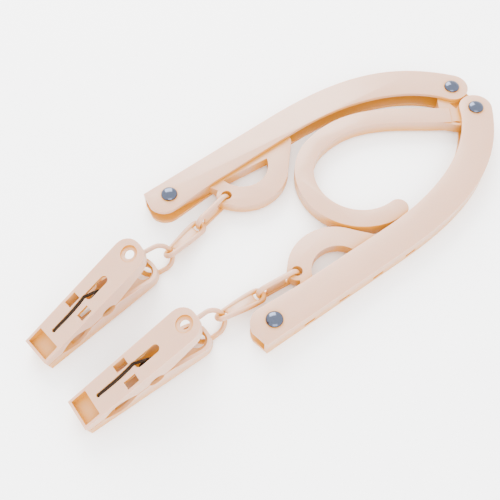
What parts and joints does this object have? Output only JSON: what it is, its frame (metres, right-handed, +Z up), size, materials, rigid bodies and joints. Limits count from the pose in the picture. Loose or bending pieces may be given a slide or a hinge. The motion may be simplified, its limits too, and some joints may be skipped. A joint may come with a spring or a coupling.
{
  "type": "folding clip drying hanger",
  "caption": "Folding travel clothes hanger in pale pink plastic, folded flat, with a hook, two riveted arms and spring clips on short chains.",
  "frame": {"origin": "on the resting plane, under the middle of the folded hanger's box", "axes": "+Y towards the hub that joins the two arms, along the folded hanger; +X towards arm B; +Z up from the resting plane, through the rivets"},
  "size_m": [0.0924, 0.2374, 0.0276],
  "materials": {
    "hanger_plastic": "satin translucent moulded plastic",
    "rivet_steel": "polished domed rivets",
    "spring_wire": "dark bronze spring wire"
  },
  "bodies": {
    "hub": {"hook": "hanger_plastic", "hub_rivet_a": "rivet_steel", "hub_rivet_b": "rivet_steel"},
    "arm_a": {"arm_a": "hanger_plastic", "end_rivet_a": "rivet_steel"},
    "bracket_a": {"bracket_a": "hanger_plastic"},
    "chain_first_a": {"chain_first_a": "hanger_plastic"},
    "chain_middle_a": {"chain_middle_a": "hanger_plastic"},
    "chain_ring_a": {"chain_ring_a": "hanger_plastic"},
    "clip_a": {"clip_lower_a": "hanger_plastic", "clip_spring_a": "spring_wire"},
    "clip_lever_a": {"clip_upper_a": "hanger_plastic"},
    "arm_b": {"arm_b": "hanger_plastic", "end_rivet_b": "rivet_steel"},
    "bracket_b": {"bracket_b": "hanger_plastic"},
    "chain_first_b": {"chain_first_b": "hanger_plastic"},
    "chain_middle_b": {"chain_middle_b": "hanger_plastic"},
    "chain_ring_b": {"chain_ring_b": "hanger_plastic"},
    "clip_b": {"clip_lower_b": "hanger_plastic", "clip_spring_b": "spring_wire"},
    "clip_lever_b": {"clip_upper_b": "hanger_plastic"}
  },
  "joints": [
    {"name": "arm_fold_a", "type": "hinge", "parent": "hub", "child": "arm_a", "pos_m": [-0.0081, 0.1109, 0.0045], "axis": [0, 0, -1], "range_deg": [0, 90]},
    {"name": "bracket_swing_a", "type": "hinge", "parent": "arm_a", "child": "bracket_a", "pos_m": [-0.038, -0.0341, 0.0045], "axis": [0, 0, -1], "range_deg": [0, 175]},
    {"name": "chain_drop_a", "type": "hinge", "parent": "bracket_a", "child": "chain_first_a", "pos_m": [-0.02353, -0.01328, 0.0045], "axis": [0, 0, -1], "range_deg": [-54, 0]},
    {"name": "chain_swing_a", "type": "hinge", "parent": "chain_first_a", "child": "chain_middle_a", "pos_m": [-0.01917, -0.03218, 0.004], "axis": [0, 0, -1], "range_deg": [-2, 20]},
    {"name": "ring_swing_a", "type": "hinge", "parent": "chain_middle_a", "child": "chain_ring_a", "pos_m": [-0.01498, -0.04897, 0.005], "axis": [0, 0, -1], "range_deg": [-2, 12]},
    {"name": "clip_swing_a", "type": "hinge", "parent": "chain_ring_a", "child": "clip_a", "pos_m": [-0.0142, -0.06335, 0.0035], "axis": [0, 0, -1], "range_deg": [-2, 12]},
    {"name": "clip_squeeze_a", "type": "hinge", "parent": "clip_a", "child": "clip_lever_a", "pos_m": [-0.01216, -0.0813, 0.01102], "axis": [-0.9936, -0.1132, 0], "range_deg": [0, 20], "stiffness_Nm_per_rad": 0.1, "springref_deg": -45.84, "deforming": ["clip_spring_a"]},
    {"name": "arm_fold_b", "type": "hinge", "parent": "hub", "child": "arm_b", "pos_m": [0.0081, 0.1109, 0.0045], "axis": [0, 0, 1], "range_deg": [0, 90]},
    {"name": "bracket_swing_b", "type": "hinge", "parent": "arm_b", "child": "bracket_b", "pos_m": [0.038, -0.0341, 0.0045], "axis": [0, 0, 1], "range_deg": [0, 180]},
    {"name": "chain_drop_b", "type": "hinge", "parent": "bracket_b", "child": "chain_first_b", "pos_m": [0.0254, -0.0121, 0.0045], "axis": [0, 0, 1], "range_deg": [-54, 0]},
    {"name": "chain_swing_b", "type": "hinge", "parent": "chain_first_b", "child": "chain_middle_b", "pos_m": [0.02344, -0.0314, 0.004], "axis": [0, 0, 1], "range_deg": [-2, 20]},
    {"name": "ring_swing_b", "type": "hinge", "parent": "chain_middle_b", "child": "chain_ring_b", "pos_m": [0.02253, -0.04868, 0.005], "axis": [0, 0, 1], "range_deg": [-2, 12]},
    {"name": "clip_swing_b", "type": "hinge", "parent": "chain_ring_b", "child": "clip_b", "pos_m": [0.02481, -0.0629, 0.0035], "axis": [0, 0, 1], "range_deg": [-2, 12]},
    {"name": "clip_squeeze_b", "type": "hinge", "parent": "clip_b", "child": "clip_lever_b", "pos_m": [0.02456, -0.08096, 0.01102], "axis": [-0.9999, 0.014, 0], "range_deg": [0, 20], "stiffness_Nm_per_rad": 0.1, "springref_deg": -45.84, "deforming": ["clip_spring_b"]}
  ],
  "couplings": [
    {"joint": "bracket_swing_a", "follows": "arm_fold_a", "ratio": 1.9444},
    {"joint": "chain_drop_a", "follows": "arm_fold_a", "ratio": -0.6},
    {"joint": "bracket_swing_b", "follows": "arm_fold_b", "ratio": 2},
    {"joint": "chain_drop_b", "follows": "arm_fold_b", "ratio": -0.6}
  ]
}
